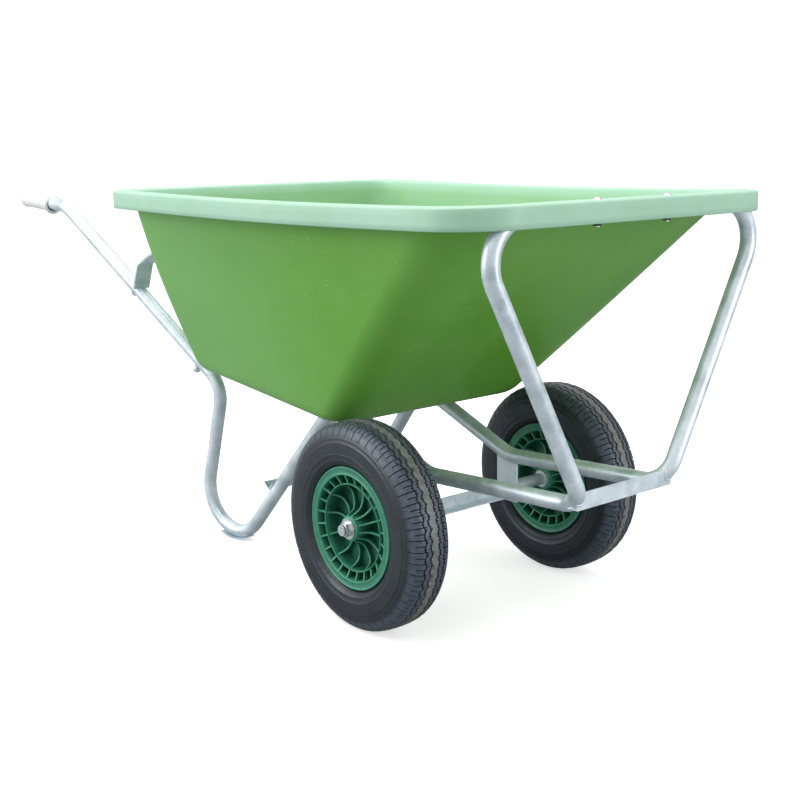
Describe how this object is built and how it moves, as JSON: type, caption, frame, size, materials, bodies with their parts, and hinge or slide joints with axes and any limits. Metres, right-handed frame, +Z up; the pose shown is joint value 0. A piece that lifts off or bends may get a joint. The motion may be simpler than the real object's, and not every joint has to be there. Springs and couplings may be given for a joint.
{
  "type": "wheelbarrow",
  "caption": "Twin-wheel wheelbarrow with a deep sloping-nose green moulded tray on a bent galvanised tube frame with legs and handles.",
  "frame": {"origin": "on the ground, under the middle of the overall length, on the middle plane", "axes": "+X forward towards the nose and front hoop, +Y to the barrow's left, +Z up"},
  "size_m": [1.761, 0.79, 0.8132],
  "materials": {
    "tray_green": "moulded green polyethylene, soft sheen",
    "grip_grey": "pale grey moulded plastic",
    "zinc_plate": "bright zinc-plated steel",
    "galvanised": "hot-dip galvanised steel, faint mottling",
    "tyre_rubber": "black moulded rubber, dusty",
    "tube_rubber": "plain black rubber",
    "rim_green": "dark green moulded plastic, satin",
    "bush_nylon": "white nylon",
    "valve_black": "black rubber stem and cap"
  },
  "bodies": {
    "frame": {"tray": "tray_green", "front_hoop": "galvanised", "tipping_bar": "galvanised", "axle_angle": "galvanised", "leg_brace": "galvanised", "axle_washers": "zinc_plate", "axle_nuts": "zinc_plate", "rim_bolts": "zinc_plate", "rim_nuts": "zinc_plate", "floor_bolts": "zinc_plate", "floor_nuts": "zinc_plate", "strap_bolts": "zinc_plate", "strap_nuts": "zinc_plate", "wall_bolts": "zinc_plate", "wall_nuts": "zinc_plate", "side_tube_left": "galvanised", "side_tube_right": "galvanised", "axle_plate_left": "galvanised", "axle_plate_right": "galvanised", "stub_axle_left": "galvanised", "stub_axle_right": "galvanised", "skid_left": "galvanised", "skid_right": "galvanised", "grip_left": "grip_grey", "grip_right": "grip_grey", "strap_left": "galvanised", "strap_right": "galvanised"},
    "wheel_left": {"tyre_left": "tyre_rubber", "inner_tube_left": "tube_rubber", "rim_left": "rim_green", "hub_bush_left": "bush_nylon", "valve_left": "valve_black"},
    "wheel_right": {"tyre_right": "tyre_rubber", "inner_tube_right": "tube_rubber", "rim_right": "rim_green", "hub_bush_right": "bush_nylon", "valve_right": "valve_black"}
  },
  "joints": [
    {"name": "wheel_left_spin", "type": "hinge", "parent": "frame", "child": "wheel_left", "pos_m": [0.4475, 0.259, 0.2], "axis": [0, 1, 0], "continuous": true},
    {"name": "wheel_right_spin", "type": "hinge", "parent": "frame", "child": "wheel_right", "pos_m": [0.4475, -0.259, 0.2], "axis": [0, 1, 0], "continuous": true}
  ]
}
